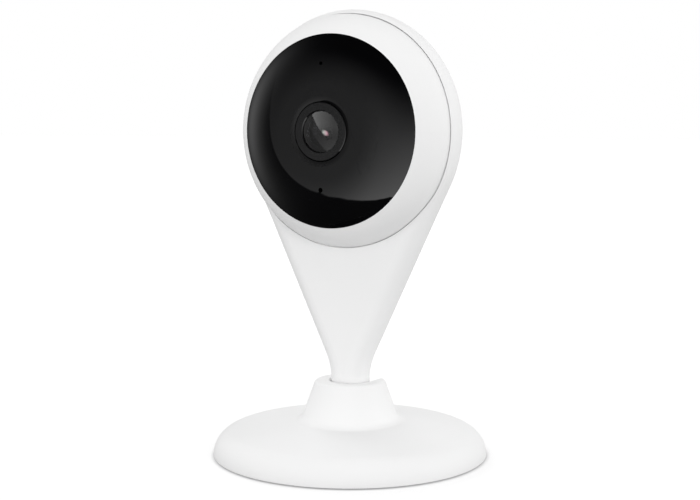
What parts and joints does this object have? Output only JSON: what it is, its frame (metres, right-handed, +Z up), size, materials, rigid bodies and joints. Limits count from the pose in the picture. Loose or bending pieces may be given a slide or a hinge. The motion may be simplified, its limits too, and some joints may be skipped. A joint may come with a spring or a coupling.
{
  "type": "security camera",
  "caption": "Small home security camera with a round lens head on a drop-shaped body whose neck tilts in a collar on a domed round base.",
  "frame": {"origin": "centre of the underside of the foot, on the axis of the round base", "axes": "+Z up from the foot through the neck to the head, the lens looks along -Y, +X is to the right of someone facing the lens"},
  "size_m": [0.0712, 0.0712, 0.1146],
  "materials": {
    "white_plastic": "satin white moulded plastic",
    "grey_plastic": "matt light grey moulded plastic",
    "black_window": "polished black plastic that passes infrared light",
    "lens_black": "black anodised",
    "lens_glass": "coated optical glass",
    "black_plastic": "matt black moulded plastic",
    "chip_black": "moulded chip resin",
    "steel": "bright zinc-plated steel",
    "cast_alloy": "die-cast, as cast",
    "tinned_sheet": "tinned sheet",
    "rubber": "matt black rubber and foam",
    "circuit_board": "green solder mask",
    "lamp_resin": "clear lamp resin"
  },
  "bodies": {
    "base": {"base_shell": "white_plastic", "base_bottom": "grey_plastic", "base_weight": "steel", "foot_pad": "rubber", "base_screws": "steel", "hinge_bracket": "steel", "bracket_screws": "steel", "hinge_pin": "steel", "pin_clip": "steel", "friction_washers": "steel"},
    "head": {"antenna": "tinned_sheet", "board_link": "black_plastic", "board_screws": "steel", "body_shell": "white_plastic", "button_switch": "black_plastic", "card_socket": "tinned_sheet", "filter_coil": "black_plastic", "filter_retainer": "steel", "flash_chip": "chip_black", "front_bezel": "white_plastic", "front_window": "black_window", "hinge_knuckle": "cast_alloy", "holder_screws": "steel", "housing_screws": "steel", "image_sensor": "chip_black", "infrared_leds": "lamp_resin", "led_board": "circuit_board", "led_screws": "steel", "lens_barrel": "lens_black", "lens_elements": "lens_glass", "lens_front_glass": "lens_glass", "lens_holder": "black_plastic", "lens_ring": "lens_black", "lens_spacers": "black_plastic", "light_baffle": "rubber", "light_sensor": "chip_black", "main_board": "circuit_board", "microphone": "chip_black", "microphone_boot": "rubber", "neck_screws": "steel", "processor": "chip_black", "rear_cover": "white_plastic", "shield_can": "tinned_sheet", "speaker": "black_plastic", "speaker_gasket": "rubber", "thermal_pad": "rubber", "usb_socket": "tinned_sheet", "window_seal": "rubber", "wireless_module": "tinned_sheet"},
    "set_button": {"set_button": "white_plastic"},
    "filter": {"filter_slider": "black_plastic", "filter_glasses": "lens_glass"}
  },
  "joints": [
    {"name": "head_tilt", "type": "hinge", "parent": "base", "child": "head", "pos_m": [0, 0.0003, 0.0146], "axis": [-1, 0, 0], "range_deg": [-5, 90]},
    {"name": "set_button_press", "type": "slide", "parent": "head", "child": "set_button", "axis": [0, -1, 0], "range_m": [0, 0.0005], "stiffness_N_per_m": 1000, "springref_m": -0.0005},
    {"name": "filter_slide", "type": "slide", "parent": "head", "child": "filter", "axis": [-1, 0, 0], "range_m": [0, 0.0045]}
  ]
}
